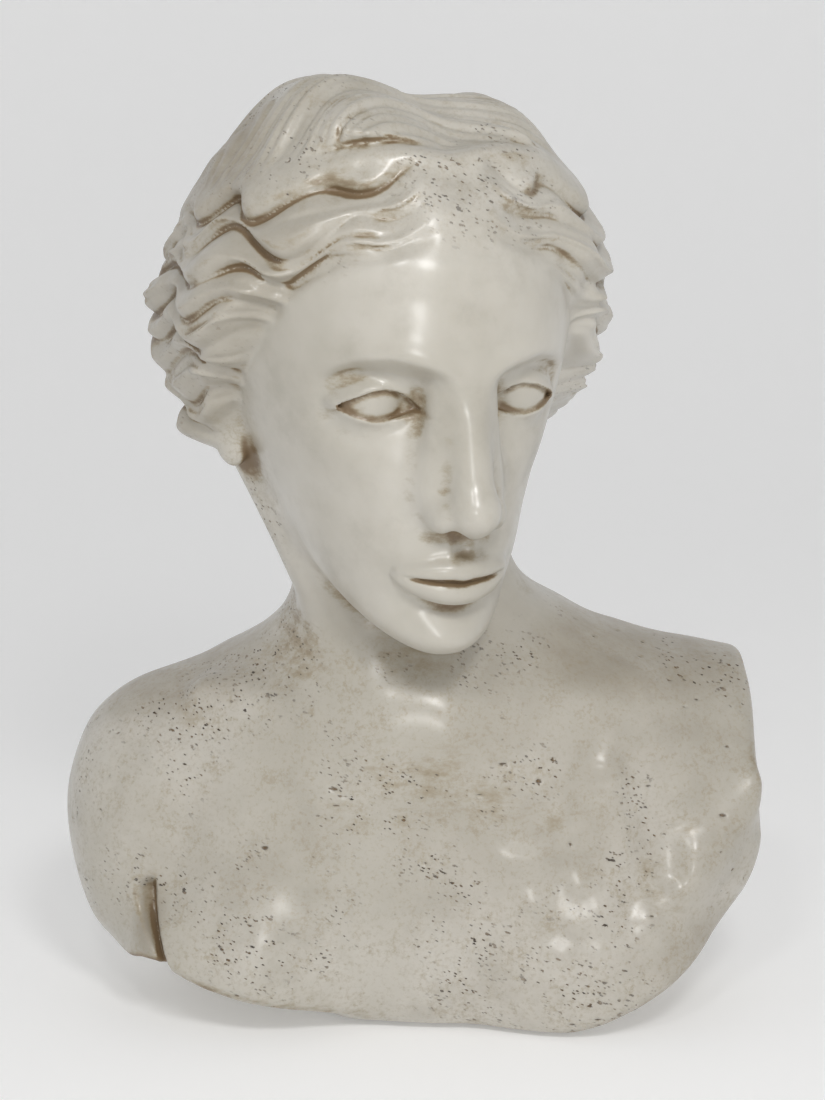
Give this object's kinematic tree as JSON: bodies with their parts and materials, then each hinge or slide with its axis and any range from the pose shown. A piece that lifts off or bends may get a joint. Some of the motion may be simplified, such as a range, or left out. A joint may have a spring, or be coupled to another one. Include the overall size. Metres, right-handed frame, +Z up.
{
  "type": "portrait bust",
  "caption": "Classical portrait bust with turned head, waved hair and cut shoulders, a hollow casting on a flat felted foot.",
  "frame": {"origin": "centre line of the chest on the surface that the bust stands on, at the foot's felt", "axes": "+Z up, the chest faces -Y, and the bust's own left shoulder points to +X"},
  "size_m": [0.307, 0.2273, 0.4096],
  "materials": {
    "marble": "polished cast marble, waxed, with brown patina in the recesses",
    "rod_steel": "plain drawn bar",
    "plaster": "rough poured plaster",
    "block_wood": "rough sawn softwood",
    "board_wood": "sanded plywood",
    "screw_steel": "zinc plated",
    "felt": "pressed wool felt"
  },
  "bodies": {
    "root": {"bust_shell": "marble", "neck_rod": "rod_steel", "chest_bedding": "plaster", "head_bedding": "plaster", "fixing_blocks": "block_wood", "base_board": "board_wood", "base_screws": "screw_steel", "base_felt": "felt"}
  },
  "joints": []
}
